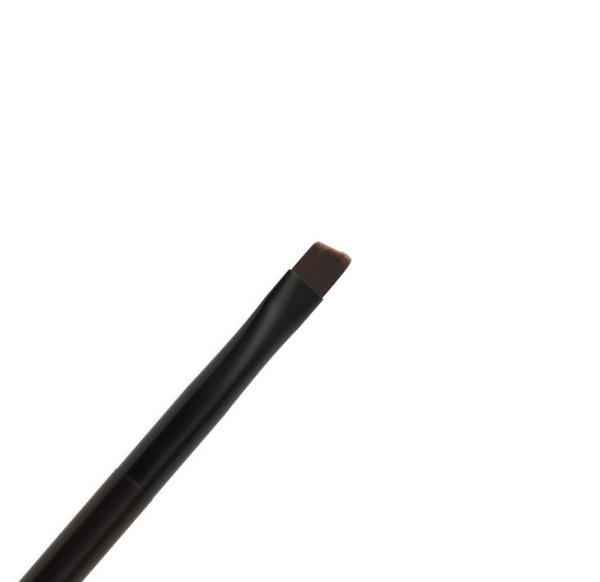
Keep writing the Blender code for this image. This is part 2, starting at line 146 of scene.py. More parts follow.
class BrushColours(bpy.types.PropertyGroup):
    """Colours of the finishes, picked as sRGB and stored as linear values."""

    handle_lacquer: colour("Handle lacquer", "Warm black lacquer on the wooden handle", "070505")
    ferrule_lacquer: colour("Ferrule lacquer", "Cool black lacquer on the metal", "050506")
    # Painted highlight: a paler grey on the mouth's lip that stands for its glint.
    lip_highlight: colour("Worn lip", "Metal under thin lacquer on the mouth's lip", "3F3D38")
    fibre: colour("Fibre", "Dyed length of the flat brush's filaments", "31221E")
    fibre_end: colour("Fibre end", "Last millimetre of the filaments", "6C422D")
    fibre_point: colour("Fibre point", "Pale points of the filaments", "CFAE98")
    bristle: colour("Spiral bristle", "Nylon of the spiral brush", "141213")
    wire: colour("Wire", "Stainless steel wire", "B4B2AD")
    resin: colour("Resin", "Cured glue and resin inside the ferrules", "B09662")
    plug: colour("Plug", "Moulded plug round the wire's end", "282828")
    paper: colour("Paper", "Studio paper under the brush", "F4F4F2")


# Node materials

GRAIN_DETAIL = 3.0

# The values between which most of a noise lies.
NOISE_RANGE = {"From Min": 0.3, "From Max": 0.7}

# Inputs and output of a Mix node that blends colours.
MIX_SHARE, MIX_FROM, MIX_TO = 0, 6, 7
MIXED = 2

# Tints of the gleam on metal and on wood.
COOL_GLEAM = linear("ECF6EF")
WARM_GLEAM = linear("FFEDE7")

# Stretch behind the mouth's lip that is painted paler: a painted highlight for the glint on the
# lip.
LIP_HIGHLIGHT_DEPTH = 0.12 * MM


def add_node(material, kind, inputs=None, **settings):
    """Adds a shader node with its settings and inputs.

    An input is a value, or a link from a socket or from a node's first output.
    """
    node = material.node_tree.nodes.new("ShaderNode" + kind)
    for name, value in settings.items():
        setattr(node, name, value)
    for name, value in (inputs or {}).items():
        if isinstance(value, bpy.types.Node):
            value = value.outputs[0]
        if isinstance(value, bpy.types.NodeSocket):
            material.node_tree.links.new(value, node.inputs[name])
        else:
            node.inputs[name].default_value = value
    return node


def empty_material(name):
    """A material with an empty node tree."""
    material = bpy.data.materials.new(name)
    material.use_nodes = True
    material.node_tree.nodes.clear()
    return material


def place_of(material):
    """X, Y and Z of the shaded point in object coordinates."""
    place = add_node(material, "TexCoord").outputs["Object"]
    return add_node(material, "SeparateXYZ", {"Vector": place}).outputs


def grain(material, *size):
    """Noise on object coordinates, with features of a size in mm along X, Y and Z."""
    place = add_node(material, "TexCoord").outputs["Object"]
    scale = [1 / (extent * MM) for extent in size]
    scaled = add_node(material, "Mapping", {"Vector": place, "Scale": scale})
    return add_node(material, "TexNoise", {"Vector": scaled, "Scale": 1.0, "Detail": GRAIN_DETAIL})


def shade(tone, factor=1.0):
    """A linear colour made lighter or darker, with full alpha."""
    return (*(min(channel * factor, 1.0) for channel in tone), 1.0)


def mottled(material, noise, tone, darkest, palest):
    """A colour that noise makes darker and lighter, down and up to a share of itself."""
    share = add_node(material, "MapRange", {"Value": noise, **NOISE_RANGE})
    mix = {MIX_SHARE: share, MIX_FROM: shade(tone, darkest), MIX_TO: shade(tone, palest)}
    return add_node(material, "Mix", mix, data_type="RGBA").outputs[MIXED]


def textured_finish(material, tone, gloss, relief, others):
    """Completes a material whose gloss and relief follow noises.

    gloss is a noise with its least and most roughness, relief a noise with its
    height and strength, and others are the shader's other inputs.
    """
    noise, smoothest, dullest = gloss
    roughness = {"Value": noise, **NOISE_RANGE, "To Min": smoothest, "To Max": dullest}
    bump = dict(zip(("Height", "Distance", "Strength"), relief))
    shader = add_node(material, "BsdfPrincipled", {
        "Base Color": tone,
        "Roughness": add_node(material, "MapRange", roughness),
        "Normal": add_node(material, "Bump", bump),
        **others,
    })
    add_node(material, "OutputMaterial", {"Surface": shader})
    return material


def satin_lacquer_on_aluminium(sizes, colours):
    """Sprayed and baked satin lacquer on a drawn aluminium tube.

    It is opaque, so only the dielectric gloss of the lacquer shows, softened by
    a faint orange peel about a millimetre across. The lip of the flat mouth is
    painted a paler grey, a painted highlight for the glint on the lip.
    """
    material = empty_material("satin_black_lacquer_on_drawn_aluminium")
    cloud = grain(material, 6, 3, 3)
    peel = grain(material, 1.1, 0.9, 0.9)
    lacquer = mottled(material, cloud, colours.ferrule_lacquer, 0.85, 1.15)
    place = place_of(material)
    slant = math.tan(MOUTH_SKEW)
    rim = MOUTH_X - slant * sizes.mouth_width / 2
    along = add_node(
        material, "Math", {0: place["Y"], 1: slant, 2: place["X"]}, operation="MULTIPLY_ADD",
    )
    # Painted highlight: the lip is painted paler for its glint.
    lip = add_node(material, "MapRange", {
        "Value": along, "From Min": rim + LIP_HIGHLIGHT_DEPTH / 2, "From Max": rim + LIP_HIGHLIGHT_DEPTH,
        "To Min": 1, "To Max": 0,
    })
    mix = {MIX_SHARE: lip, MIX_FROM: lacquer, MIX_TO: shade(colours.lip_highlight)}
    tone = add_node(material, "Mix", mix, data_type="RGBA").outputs[MIXED]
    return textured_finish(
        material, tone, (cloud, 0.21, 0.25), (peel, 0.004 * MM, 0.35),
        {"Specular Tint": shade(COOL_GLEAM)},
    )


def satin_lacquer_on_birch(colours):
    """Satin lacquer dipped over a turned birch rod.

    The wood's pores print through as faint streaks along the rod, which break
    the gloss a little more than on metal. The lacquer's gleam is warm. Real
    pores are about 0.1 mm wide, so they are drawn coarser to show.
    """
    material = empty_material("satin_black_lacquer_on_turned_birch")
    streaks = grain(material, 9, 0.35, 0.35)
    cloud = grain(material, 8, 3, 3)
    tone = mottled(material, streaks, colours.handle_lacquer, 0.8, 1.2)
    return textured_finish(
        material, tone, (cloud, 0.26, 0.3), (streaks, 0.006 * MM, 0.3),
        {"Specular Tint": shade(WARM_GLEAM)},
    )


def dyed_polyester_filament(colours):
    """Tapered polyester filament, dyed dark brown with its points left pale.

    Each filament has its own tone, with painted light added on both sides of the tuft
    and a darker middle. Its last millimetre lets light through and glows orange brown,
    and its point is nearly white.
    """
    material = empty_material("dyed_tapered_polyester_filament")
    tone = add_node(material, "Attribute", attribute_name="tone").outputs["Fac"]
    to_tip = add_node(material, "Attribute", attribute_name="to_tip").outputs["Fac"]
    near_tip = [
        add_node(material, "MapRange", {
            "Value": to_tip, "From Min": start, "From Max": end, "To Min": 1, "To Max": 0,
        })
        for start, end in ((0.3 * MM, 1.25 * MM), (0.0, 0.45 * MM))
    ]
    finish = shade(colours.fibre, 0.6)
    paler = (shade(colours.fibre, 1.4), shade(colours.fibre_end), shade(colours.fibre_point))
    for share, next_finish in zip((tone, *near_tip), paler):
        mix = {MIX_SHARE: share, MIX_FROM: finish, MIX_TO: next_finish}
        finish = add_node(material, "Mix", mix, data_type="RGBA").outputs[MIXED]
    roughness = {"Value": tone, "To Min": 0.42, "To Max": 0.55}
    shader = add_node(material, "BsdfPrincipled", {
        "Base Color": finish,
        "Roughness": add_node(material, "MapRange", roughness),
        "Specular IOR Level": 0.35,
    })
    add_node(material, "OutputMaterial", {"Surface": shader})
    return material


def nylon_filament(colours):
    """Extruded black nylon filament: smooth, with a narrow gleam along it."""
    material = empty_material("extruded_black_nylon_filament")
    tone = add_node(material, "Attribute", attribute_name="tone").outputs["Fac"]
    dark, pale = (shade(colours.bristle, factor) for factor in (0.8, 1.3))
    tone_blend = {MIX_SHARE: tone, MIX_FROM: dark, MIX_TO: pale}
    roughness = {"Value": tone, "To Min": 0.3, "To Max": 0.42}
    shader = add_node(material, "BsdfPrincipled", {
        "Base Color": add_node(material, "Mix", tone_blend, data_type="RGBA").outputs[MIXED],
        "Roughness": add_node(material, "MapRange", roughness),
        "IOR": 1.53,
    })
    add_node(material, "OutputMaterial", {"Surface": shader})
    return material


def stainless_wire(colours):
    """Bright drawn stainless wire: fine die lines run along it and blur its shine.

    Real ones are about 0.01 mm apart, so they are drawn coarser to show.
    """
    material = empty_material("bright_drawn_stainless_wire")
    lines = grain(material, 3, 0.06, 0.06)
    tone = mottled(material, lines, colours.wire, 0.82, 1.1)
    return textured_finish(
        material, tone, (lines, 0.2, 0.32), (lines, 0.003 * MM, 0.3), {"Metallic": 1.0},
    )


def cured_resin(colours):
    """Cured amber epoxy: glossy, uneven where it was pressed out, with fine bubbles."""
    material = empty_material("cured_amber_epoxy")
    swirl = grain(material, 0.8, 0.8, 0.8)
    bubbles = grain(material, 0.15, 0.15, 0.15)
    tone = mottled(material, swirl, colours.resin, 0.7, 1.15)
    return textured_finish(
        material, tone, (bubbles, 0.18, 0.4), (bubbles, 0.02 * MM, 0.4), {"IOR": 1.55},
    )


def moulded_nylon(colours):
    """Injection moulded nylon: a fine dull texture from the mould."""
    material = empty_material("moulded_dark_nylon")
    texture = grain(material, 0.12, 0.12, 0.12)
    tone = mottled(material, texture, colours.plug, 0.85, 1.15)
    return textured_finish(
        material, tone, (texture, 0.45, 0.6), (texture, 0.01 * MM, 0.5), {"IOR": 1.53},
    )


def lit_backdrop_share(material):
    """1 for camera, glossy and transmission rays, which see a backdrop's own white."""
    path = add_node(material, "LightPath").outputs
    share = path["Is Camera Ray"]
    for ray in ("Is Glossy Ray", "Is Transmission Ray"):
        share = add_node(material, "Math", {0: share, 1: path[ray]}, operation="MAXIMUM")
    return share


def studio_paper(colours):
    """Matt white paper, lit from behind so that it photographs as plain white.

    It keeps a soft shadow under the brush. Its tooth is drawn coarser to show.
    """
    material = empty_material("backlit_matt_paper")
    tooth = grain(material, 0.6, 0.6, 0.6)
    fresh = mottled(material, tooth, colours.paper, 0.98, 1.0)
    tones = (fresh, shade(colours.paper, BACKLIT_PAPER_SHARE))
    paper, dim_paper = (add_node(material, "BsdfDiffuse", {"Color": tone}) for tone in tones)
    glow = add_node(material, "Emission", {"Color": (1, 1, 1, 1), "Strength": BACKLIGHT})
    backlit = add_node(material, "AddShader", {0: dim_paper, 1: glow})
    surface = add_node(
        material, "MixShader", {0: lit_backdrop_share(material), 1: paper, 2: backlit},
    )
    add_node(material, "OutputMaterial", {"Surface": surface})
    return material


# Modelling

SIDES = 128
CAP_NORMAL = 0.9
BEVEL_ANGLE = math.radians(35)
BEVEL_SEGMENTS = 3
RIM_SEGMENTS = 4


def only(piece):
    """Makes one piece the selected and active object."""
    bpy.ops.object.select_all(action="DESELECT")
    piece.select_set(True)
    bpy.context.view_layer.objects.active = piece


def add_object(name, data):
    """A new object in the scene."""
    made = bpy.data.objects.new(name, data)
    bpy.context.collection.objects.link(made)
    return made


def add_primitive(name, add, **settings):
    """Adds a primitive by its operator, with its place in its mesh."""
    bpy.ops.object.select_all(action="DESELECT")
    add(**settings)
    piece = bpy.context.active_object
    piece.name = name
    bpy.ops.object.transform_apply(location=True, rotation=True, scale=True)
    return piece


def add_cylinder(name, start_x, end_x, radius, sides=SIDES, caps="NGON"):
    """A cylinder on the brush's axis between two places along it."""
    return add_primitive(
        name, bpy.ops.mesh.primitive_cylinder_add,
        vertices=sides, radius=radius, depth=abs(end_x - start_x), end_fill_type=caps,
        location=AXIS + Vector(((start_x + end_x) / 2, 0, 0)), rotation=(0, math.pi / 2, 0),
    )


def edit(piece):
    """Opens a piece in edit mode."""
    only(piece)
    bpy.ops.object.mode_set(mode="EDIT")


def leave():
    """Closes edit mode."""
    bpy.ops.object.mode_set(mode="OBJECT")


def pick(piece, kind, test):
    """Selects in edit mode the vertices, edges or faces that pass a test."""
    bpy.ops.mesh.select_mode(type=kind)
    bpy.ops.mesh.select_all(action="DESELECT")
    shape = bmesh.from_edit_mesh(piece.data)
    parts = {"VERT": shape.verts, "EDGE": shape.edges, "FACE": shape.faces}[kind]
    for part in parts:
        if test(part):
            part.select_set(True)
    bmesh.update_edit_mesh(piece.data)


def pick_cap(piece, side):
    """Selects the closing face at the end of a turned piece, -1 for the end towards -X.

    It has many corners, while the faces of shoulders and grooves have four.
    """
    pick(piece, "FACE", lambda face: face.normal.x * side > CAP_NORMAL and len(face.verts) > 4)


def pick_ring(piece, x):
    """Selects the edges of the ring at x."""
    pick(piece, "EDGE", lambda edge: all(abs(vertex.co.x - x) < TOUCH for vertex in edge.verts))


def extrude(step, across=1.0, through=1.0):
    """Extrudes the selection along X and resizes it in Y and Z round the brush's axis."""
    bpy.ops.mesh.extrude_region_move(TRANSFORM_OT_translate={"value": (step, 0, 0)})
    bpy.ops.transform.resize(value=(1, across, through), center_override=AXIS)


def turn_down(x, radius, profile):
    """Extrudes a selected round face from x through the (x, radius) points of a profile."""
    for next_x, next_radius in profile:
        extrude(next_x - x, next_radius / radius, next_radius / radius)
        x, radius = next_x, next_radius


def add_modifier(piece, kind, **settings):
    """Adds a modifier, sets it and applies it."""
    only(piece)
    modifier = piece.modifiers.new(kind.title(), kind)
    for name, value in settings.items():
        setattr(modifier, name, value)
    bpy.ops.object.modifier_apply(modifier=modifier.name)


def round_edges(piece, width):
    """Rounds all sharp edges."""
    add_modifier(
        piece, "BEVEL", width=width, segments=BEVEL_SEGMENTS,
        limit_method="ANGLE", angle_limit=BEVEL_ANGLE,
    )
    shade_rounded(piece)


def round_rim(piece, x, width):
    """Rounds the sharp edges of a rim near x."""
    edit(piece)
    pick(piece, "EDGE", lambda edge: (
        abs(edge.verts[0].co.x - x) < RIM_REACH and edge.calc_face_angle(0) > BEVEL_ANGLE
    ))
    bpy.ops.mesh.bevel(offset=width, segments=RIM_SEGMENTS, affect="EDGES")
    leave()


def shade_rounded(piece):
    """Shades a piece smooth, with flats that stay flat."""
    only(piece)
    bpy.ops.object.shade_smooth()
    add_modifier(piece, "WEIGHTED_NORMAL", keep_sharp=False)


def close_up(piece):
    """Merges doubles and points the faces outwards."""
    edit(piece)
    bpy.ops.mesh.select_all(action="SELECT")
    bpy.ops.mesh.remove_doubles(threshold=TOUCH)
    bpy.ops.mesh.normals_make_consistent(inside=False)
    leave()


def dress(piece, material):
    """Gives a piece its one material."""
    piece.data.materials.clear()
    piece.data.materials.append(material)


def hand_over(piece, material, node):
    """Gives a piece its material, attaches it to the root body and hides the construction node
    that it stands for.
    """
    dress(piece, material)
    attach(piece, "root")
    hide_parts(node)


# Handle

# The lacquer thins out just before the shoulder, and sharp edges are eased.
SEAM = 0.02 * MM
EDGE_LENGTH = 0.6 * MM
EDGE_DROP = 0.02 * MM
EDGE_STEPS = 7
EDGE_ROUNDING = 0.006 * MM

TENON_CHAMFER = 0.6 * MM
GLUE_GROOVE_LENGTH = 4.0 * MM
GLUE_GROOVE_DEPTH = 1.0 * MM


def tenon_profile(side, shoulder_x, end_x, radius):
    """The tenon with its glue groove, from the handle's shoulder to its end."""
    middle = (shoulder_x + end_x) / 2
    groove_start = middle - side * GLUE_GROOVE_LENGTH / 2
    groove_end = middle + side * GLUE_GROOVE_LENGTH / 2
    core = radius - GLUE_GROOVE_DEPTH
    return [
        (shoulder_x, radius),
        (groove_start, radius),
        (groove_start, core),
        (groove_end, core),
        (groove_end, radius),
        (end_x - side * TENON_CHAMFER, radius),
        (end_x, radius - TENON_CHAMFER),
    ]


def edge_profile(side, shoulder_x, radius):
    """The lacquer thins out in a gentle curve towards the handle's shoulder."""
    shares = [step / EDGE_STEPS for step in range(1, EDGE_STEPS + 1)]
    return [
        (shoulder_x - side * EDGE_LENGTH * (1 - share), radius - EDGE_DROP * share ** 2)
        for share in shares
    ]


def make_handle(sizes, colours):
    """A straight rod with a tenon at each end. Its shoulders meet both ferrules."""
    shoulders = (BRUSH_FERRULE_REAR_X + SEAM, SPOOLIE_FERRULE_REAR_X - SEAM)
    radius = sizes.handle_diameter / 2
    rod = (shoulders[0] + EDGE_LENGTH, shoulders[1] - EDGE_LENGTH)
    handle = add_cylinder("lacquered_handle", *rod, radius)
    ends = (corner.x for corner in HANDLE_BOX)
    edit(handle)
    for side, shoulder_x, end_x in zip((-1, 1), shoulders, ends):
        pick_cap(handle, side)
        edge = edge_profile(side, shoulder_x, radius)
        tenon = tenon_profile(side, shoulder_x, end_x, sizes.tenon_diameter / 2)
        turn_down(shoulder_x - side * EDGE_LENGTH, radius, edge + tenon)
    leave()
    close_up(handle)
    round_edges(handle, EDGE_ROUNDING)
    hand_over(handle, satin_lacquer_on_birch(colours), "handle")


# Ferrules

# Sharp edges within this distance of a rim belong to it.
RIM_REACH = 0.5 * MM
RIM_ROUNDING = 0.06 * MM
MOUTH_LIP_ROUNDING = 0.1 * MM

# Rings of the swage. Its width changes most at the ends that are far from the neck.
BAND_STEPS = 10
FLARE_STEPS = 22
SHOULDER_STEPS = 18
FLARE_CURVE = 1.6
SHOULDER_CURVE = 2.5


def swage_section(sizes, from_mouth):
    """Half width, half thickness and end length of the oval at a distance from the mouth.

    An oval has two half ellipses of the end length, joined by flats.
    """
    if from_mouth <= sizes.band_length:
        share = from_mouth / sizes.band_length
        half_width = blend(sizes.mouth_width, sizes.band_width, share) / 2
        half_thickness = blend(sizes.mouth_thickness, sizes.band_thickness, share) / 2
        half_flat = blend(sizes.mouth_flat, sizes.band_flat, share) / 2
        return half_width, half_thickness, half_width - half_flat
    tube = sizes.ferrule_diameter / 2
    behind_band = from_mouth - sizes.band_length
    squeeze = max(1 - behind_band / (sizes.flare_length + sizes.shoulder_length), 0)
    half_thickness = blend(tube, sizes.band_thickness / 2, squeeze ** 2)
    half_flat = sizes.band_flat / 2 * squeeze ** 3
    if behind_band <= sizes.flare_length:
        flare = 1 - behind_band / sizes.flare_length
        half_width = blend(sizes.neck_width, sizes.band_width, flare ** FLARE_CURVE) / 2
    else:
        share = min((behind_band - sizes.flare_length) / sizes.shoulder_length, 1)
        half_width = blend(sizes.neck_width / 2, tube, share ** SHOULDER_CURVE)
    return half_width, half_thickness, half_width - half_flat


def swage_stations(sizes):
    """Distances of the swage's rings from the mouth, from the round tube to the mouth."""
    stations = [0.0]
    for extent, steps in (
        (sizes.band_length, BAND_STEPS),
        (sizes.flare_length, FLARE_STEPS),
        (sizes.shoulder_length, SHOULDER_STEPS),
    ):
        start = stations[-1]
        stations += [start + extent * step / steps for step in range(1, steps + 1)]
    return stations[::-1]


def spread_ring(piece, x, distance):
    """Moves the two halves of the ring at x apart, or together if distance is negative."""
    for side in (-1, 1):
        pick(piece, "VERT", lambda vertex: (
            abs(vertex.co.x - x) < TOUCH and vertex.co.y * side > TOUCH
        ))
        bpy.ops.transform.translate(value=(0, side * distance, 0))


def make_brush_ferrule(sizes, colours):
    """A drawn tube whose mouth is swaged to a flat oval."""
    tube, *stations = swage_stations(sizes)
    x = MOUTH_X + tube
    ferrule = add_cylinder(
        "brush_ferrule_shell", x, BRUSH_FERRULE_REAR_X, sizes.ferrule_diameter / 2, caps="NOTHING",
    )
    section = swage_section(sizes, tube)
    edit(ferrule)
    for from_mouth in stations:
        pick_ring(ferrule, x)
        old_width, old_thickness, old_end = section
        section = half_width, half_thickness, end_length = swage_section(sizes, from_mouth)
        widening = end_length / old_end
        extrude(MOUTH_X + from_mouth - x, widening, half_thickness / old_thickness)
        x = MOUTH_X + from_mouth
        spread_ring(ferrule, x, half_width - end_length - (old_width - old_end) * widening)
    pick_ring(ferrule, MOUTH_X)
    short_side = AXIS + Vector((MOUTH_X, -sizes.mouth_width / 2, 0))
    bpy.ops.transform.rotate(value=-MOUTH_SKEW, orient_axis="Z", center_override=short_side)
    leave()
    close_up(ferrule)
    add_modifier(ferrule, "SOLIDIFY", thickness=sizes.wall, offset=-1, use_even_offset=True)
    round_rim(ferrule, MOUTH_X, MOUTH_LIP_ROUNDING)
    round_rim(ferrule, BRUSH_FERRULE_REAR_X, RIM_ROUNDING)
    shade_rounded(ferrule)
    hand_over(ferrule, satin_lacquer_on_aluminium(sizes, colours), "brush_ferrule")


CONE_LENGTH = 9.5 * MM
NOSE_RADIUS = 1.44 * MM
NOSE_BORE_CLEARANCE = 0.06 * MM


def make_spoolie_ferrule(sizes, colours):
    """A drawn tube with a cone that closes on the wire."""
    radius = sizes.ferrule_diameter / 2
    cone_x = NOSE_X - CONE_LENGTH
    bore = wire_offset(sizes) + sizes.wire_diameter / 2 + NOSE_BORE_CLEARANCE
    ferrule = add_cylinder("spoolie_ferrule_shell", SPOOLIE_FERRULE_REAR_X, cone_x, radius)
    edit(ferrule)
    pick_cap(ferrule, 1)
    turn_down(cone_x, radius, [
        (NOSE_X, NOSE_RADIUS),
        (NOSE_X, bore),
        (NOSE_X - 2 * sizes.wall, bore),
        (NOSE_X - 2 * sizes.wall, NOSE_RADIUS - sizes.wall),
        (cone_x, radius - sizes.wall),
        (SPOOLIE_FERRULE_REAR_X + sizes.wall, radius - sizes.wall),
    ])
    bpy.ops.mesh.delete(type="FACE")
    pick_cap(ferrule, -1)
    bpy.ops.mesh.inset(thickness=sizes.wall)
    bpy.ops.mesh.delete(type="FACE")
    pick(ferrule, "EDGE", lambda edge: edge.is_boundary)
    bpy.ops.mesh.bridge_edge_loops()
    leave()
    close_up(ferrule)
    round_edges(ferrule, RIM_ROUNDING)
    hand_over(ferrule, satin_lacquer_on_aluminium(sizes, colours), "spoolie_ferrule")


# Flat tuft

# One filament: an even body, then rings at a place and with a share of its radius.
FIBRE_SEED = 11
FIBRE_SIDES = 5
FIBRE_BODY = 5.0 * MM
FIBRE_LENGTH = 7.0 * MM
FIBRE_RINGS = ((6.1 * MM, 0.95), (6.6 * MM, 0.7), (FIBRE_LENGTH, 0.18))

# The cut, which is level on the long side, and how far the tips lean together.
SHORT_SIDE_ROUNDING = 0.5 * MM
LONG_SIDE_ROUNDING = 0.12 * MM
LEVEL_CUT_START = -0.65
TUFT_TIP_THICKNESS = 1.0 * MM
SHORT_SIDE_PULL = 0.08 * MM
LONG_SIDE_PULL = 0.36 * MM

# How uneven the filaments are. The place scatters by a share of the spacing, less
# towards the outside.
FIBRE_BEND = 0.05 * MM
TIP_SCATTER = 0.1 * MM
PLACE_SCATTER = 0.3
INNER_POWER = 8
ROW_STAGGER = 0.25

# The tone across the tuft, from -1 on the long side to 1 on the short one: paler at both
# sides, as painted light that makes up for the filaments' shading there, and darker in the
# middle; and how long the pale ends are, as a share of their usual length.
ACROSS_PLACES = (-1.0, -0.85, -0.5, -0.12, 0.05, 0.4, 0.75, 1.0)
SIDE_LIGHT_TONES = (0.95, 0.25, 0.1, 0.15, 0.3, 0.25, 0.7, 1.0)
SIDE_LIGHT_SHARE = 0.6
PALE_SHARES = (1.4, 1.25, 0.95, 1.0, 0.9, 0.65, 0.7, 0.85)


def points_of(mesh):
    """The mesh's vertices as rows of x, y and z."""
    flat = np.empty(len(mesh.vertices) * 3, dtype=np.float32)
    mesh.vertices.foreach_get("co", flat)
    return flat.reshape(-1, 3)


def copy_each(template, name, places):
    """Copies a template once for each place and joins the copies into one piece.

    A place is the copy's points and the values that its material reads.
    """
    bpy.ops.object.select_all(action="DESELECT")
    for points, attributes in places:
        mesh = template.data.copy()
        mesh.vertices.foreach_set("co", points.astype(np.float32).ravel())
        for attribute, values in attributes.items():
            numbers = np.broadcast_to(values, len(points)).astype(np.float32)
            mesh.attributes.new(attribute, "FLOAT", "POINT").data.foreach_set("value", numbers)
        copy = add_object(name, mesh)
        copy.select_set(True)
    bpy.context.view_layer.objects.active = copy
    bpy.ops.object.join()
    piece = bpy.context.active_object
    bpy.data.objects.remove(template)
    piece.name = name
    bpy.ops.object.shade_smooth()
    return piece


def fibre_template(sizes, root_depth):
    """One filament along X, with its root below 0."""
    radius = sizes.fibre_diameter / 2
    fibre = add_cylinder("fibre", -root_depth, 0, radius, sides=FIBRE_SIDES)
    edit(fibre)
    pick_cap(fibre, 1)
    rings = [(x, radius * share) for x, share in FIBRE_RINGS]
    turn_down(0, radius, [(FIBRE_BODY / 2, radius), (FIBRE_BODY, radius)] + rings)
    leave()
    fibre.data.transform(Matrix.Translation(-AXIS))
    return fibre


def tuft_length(sizes, across):
    """Visible length of the tuft, from 1 on the short side to -1 on the long side.

    The cut is slanted on the short side and level on the long one, with rounded corners.
    """
    share = (1 - max(across, LEVEL_CUT_START)) / (1 - LEVEL_CUT_START)
    line = blend(sizes.short_side, sizes.long_side, share)
    radius = SHORT_SIDE_ROUNDING if across > 0 else LONG_SIDE_ROUNDING
    half = sizes.mouth_width / 2 - sizes.wall
    into_corner = max(radius - (1 - abs(across)) * half, 0)
    return line - radius + math.sqrt(radius ** 2 - into_corner ** 2)


def make_tuft(sizes, colours):
    """Rows of tapered filaments that fill the mouth and thin out to a slanted edge."""
    chance = random.Random(FIBRE_SEED)
    template = fibre_template(sizes, TUFT_BOX[1].x - MOUTH_X)
    rest = points_of(template.data)
    inset = sizes.wall + sizes.fibre_diameter / 2
    half_width, half_thickness, end_length = (extent - inset for extent in swage_section(sizes, 0))
    flatten = TUFT_TIP_THICKNESS / 2 / half_thickness
    places = []
    for row in range(sizes.fibre_rows):
        for column in range(sizes.fibre_columns):
            offset = 0.5 + (ROW_STAGGER if row % 2 else -ROW_STAGGER)
            across = 2 * (column + offset) / sizes.fibre_columns - 1
            through = 2 * (row + 0.5) / sizes.fibre_rows - 1
            inner = 1 - max(abs(across), abs(through)) ** INNER_POWER
            across += inner * chance.uniform(-1, 1) * PLACE_SCATTER / sizes.fibre_columns
            through += inner * chance.uniform(-1, 1) * PLACE_SCATTER / sizes.fibre_rows
            z = through * half_thickness
            reach = half_width - end_length + end_length * math.sqrt(max(1 - through * through, 0))
            y = -across * reach
            visible = tuft_length(sizes, across) - abs(chance.gauss(0, 1)) * TIP_SCATTER
            pull = SHORT_SIDE_PULL if across > 0 else LONG_SIDE_PULL
            lean = (pull * across ** 3, (flatten - 1) * z)
            points = lay_fibre(rest, visible, (y, z), lean, chance)
            # Painted light on both sides of the tuft and a darker middle, blended into each
            # filament's own tone.
            tone_blend = np.interp(across, ACROSS_PLACES, SIDE_LIGHT_TONES)
            pale = np.interp(across, ACROSS_PLACES, PALE_SHARES)
            places.append((points, {
                "tone": blend(chance.random(), tone_blend, SIDE_LIGHT_SHARE),
                "to_tip": (FIBRE_LENGTH - rest[:, 0]) / pale,
            }))
    tuft = copy_each(template, "tuft_fibres", places)
    hand_over(tuft, dyed_polyester_filament(colours), "brush_tuft")


def lay_fibre(rest, visible, root, lean, chance):
    """A filament's points, from its root inside the mouth to its tip in the slanted edge."""
    x, y, z = rest.T
    roll = chance.uniform(0, 2 * math.pi)
    cos, sin = math.cos(roll), math.sin(roll)
    along = np.clip(x / FIBRE_LENGTH, 0, 1)
    stray = FIBRE_BEND * along ** 2
    stray_angle = chance.uniform(0, 2 * math.pi)
    points = np.empty_like(rest)
    points[:, 0] = MOUTH_X - np.minimum(x, 0) - np.maximum(x, 0) * visible / FIBRE_LENGTH
    points[:, 1] = root[0] + lean[0] * along ** 4 + y * cos - z * sin
    points[:, 2] = root[1] + lean[1] * along ** 2 + y * sin + z * cos
    points[:, 1] += stray * math.cos(stray_angle)
    points[:, 2] += stray * math.sin(stray_angle) + AXIS.z
    return points


# Twisted wire and spiral bristles

WIRE_EASE_LENGTH = 0.7 * MM
WIRE_POINTS_PER_TURN = 32
WIRE_BEND_POINTS = 14
WIRE_ROUNDNESS = 4
SPOOLIE_END_ROUNDING = 1.6 * MM
SPOOLIE_END_SHARE = 0.7

# One bristle, whose half length is 1: an even middle, then rings as on a filament.
BRISTLE_SEED = 23
BRISTLE_SIDES = 4
BRISTLE_MIDDLE = 0.3
BRISTLE_RINGS = ((0.7, 0.95), (1.0, 0.75))
BRISTLE_FAN = math.radians(9)
BRISTLE_LEAN = 0.06
BRISTLE_REACH_SCATTER = 0.03


def wire_offset(sizes):
    """Distance from the axis to the middle of each leg, which press on the bristles."""
    return (sizes.wire_diameter + sizes.bristle_diameter) / 2


def twist_angle(sizes, x):
    """Turn of the wire's first leg at x. The twist dies out before the bend at the tip."""
    rate = 2 * math.pi / sizes.wire_pitch
    into_ease = max(x - BRISTLE_BOX[1].x, 0)
    eased = into_ease * into_ease / (2 * WIRE_EASE_LENGTH)
    return rate * (x - WIRE_BOX[0].x - eased)


def outwards(turn):
    """The direction square to the axis at a turn."""
    return Vector((0, math.cos(turn), math.sin(turn)))


def wire_leg(sizes, half_turn):
    """Points of one leg, from inside the ferrule to the bend."""
    start = WIRE_BOX[0].x
    end = BRISTLE_BOX[1].x + WIRE_EASE_LENGTH
    steps = round(WIRE_POINTS_PER_TURN * (end - start) / sizes.wire_pitch)
    places = [blend(start, end, step / steps) for step in range(steps + 1)]
    return [
        AXIS + Vector((x, 0, 0)) + outwards(twist_angle(sizes, x) + half_turn) * wire_offset(sizes)
        for x in places
    ]


def make_wire(sizes, colours):
    """One hairpin of wire: two legs twisted together and a bend at the tip."""
    first = wire_leg(sizes, 0)
    second = wire_leg(sizes, math.pi)
    centre = (first[-1] + second[-1]) / 2
    across = first[-1] - centre
    forward = Vector((across.length, 0, 0))
    angles = [math.pi * step / WIRE_BEND_POINTS for step in range(1, WIRE_BEND_POINTS)]
    bend = [centre + forward * math.sin(angle) + across * math.cos(angle) for angle in angles]
    path = first + bend + second[::-1]
    curve = bpy.data.curves.new("twisted_wire", "CURVE")
    curve.dimensions = "3D"
    curve.bevel_depth = sizes.wire_diameter / 2
    curve.bevel_resolution = WIRE_ROUNDNESS
    curve.use_fill_caps = True
    spline = curve.splines.new("POLY")
    spline.points.add(len(path) - 1)
    for point, place in zip(spline.points, path):
        point.co = (*place, 1)
    wire = add_object("twisted_wire", curve)
    only(wire)
    bpy.ops.object.convert(target="MESH")
    close_up(wire)
    bpy.ops.object.shade_smooth_by_angle(angle=BEVEL_ANGLE)
    hand_over(wire, stainless_wire(colours), "spoolie_wire")


